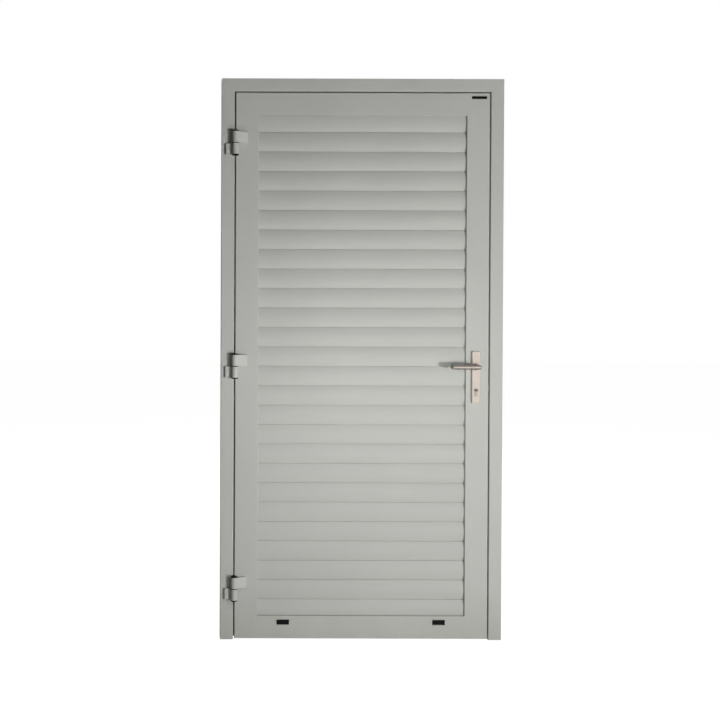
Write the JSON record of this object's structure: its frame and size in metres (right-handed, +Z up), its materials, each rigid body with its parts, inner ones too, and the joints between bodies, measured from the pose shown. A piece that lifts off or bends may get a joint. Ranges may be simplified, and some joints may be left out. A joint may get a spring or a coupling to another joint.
{
  "type": "utility door",
  "caption": "Single leaf metal utility door in its frame, with a horizontal slatted infill, barrel hinges and lever handles on long plates.",
  "frame": {"origin": "on the hinge jamb's wall side face, at the middle of the frame's depth and at finished floor level", "axes": "+X from the hinge jamb to the lock jamb, -Y towards the side the leaf opens to, +Z up"},
  "size_m": [1.104, 0.161, 2.2],
  "materials": {
    "frame_paint": "satin",
    "leaf_paint": "satin",
    "slat_paint": "satin",
    "hinge_paint": "satin",
    "satin_nickel": "brushed",
    "plated_steel": "satin",
    "seal_rubber": "matt",
    "black_plastic": "matt"
  },
  "bodies": {
    "frame": {"hinge_jamb": "frame_paint", "lock_jamb": "frame_paint", "frame_head": "frame_paint", "frame_seal": "seal_rubber", "fixing_caps": "black_plastic", "strike_plate": "plated_steel", "frame_hinge_bottom": "hinge_paint", "frame_hinge_middle": "hinge_paint", "frame_hinge_top": "hinge_paint", "hinge_pins": "plated_steel", "hinge_washers": "black_plastic", "hinge_foot_caps": "black_plastic"},
    "leaf": {"leaf_hinge_bottom": "hinge_paint", "leaf_hinge_middle": "hinge_paint", "leaf_hinge_top": "hinge_paint", "hinge_head_caps": "black_plastic", "hinge_stile": "leaf_paint", "lock_stile": "leaf_paint", "top_rail": "leaf_paint", "bottom_rail": "leaf_paint", "bead_hinge_side": "leaf_paint", "bead_lock_side": "leaf_paint", "bead_top": "leaf_paint", "bead_bottom": "leaf_paint", "slats": "slat_paint", "lock_case": "plated_steel", "lock_forend": "plated_steel", "latch": "plated_steel", "outer_plate": "satin_nickel", "inner_plate": "satin_nickel", "lock_cylinder": "satin_nickel", "drain_covers": "black_plastic"},
    "handle": {"lever_handles": "satin_nickel", "spindle": "plated_steel"}
  },
  "joints": [
    {"name": "leaf_swing", "type": "hinge", "parent": "frame", "child": "leaf", "pos_m": [0.05275, -0.044, 1.0745], "axis": [0, 0, -1], "range_deg": [0, 170]},
    {"name": "lever_turn", "type": "hinge", "parent": "leaf", "child": "handle", "pos_m": [0.9975, -0.006, 1.074], "axis": [0, -1, 0], "range_deg": [0, 40], "stiffness_Nm_per_rad": 1.5, "springref_deg": -22.92}
  ]
}
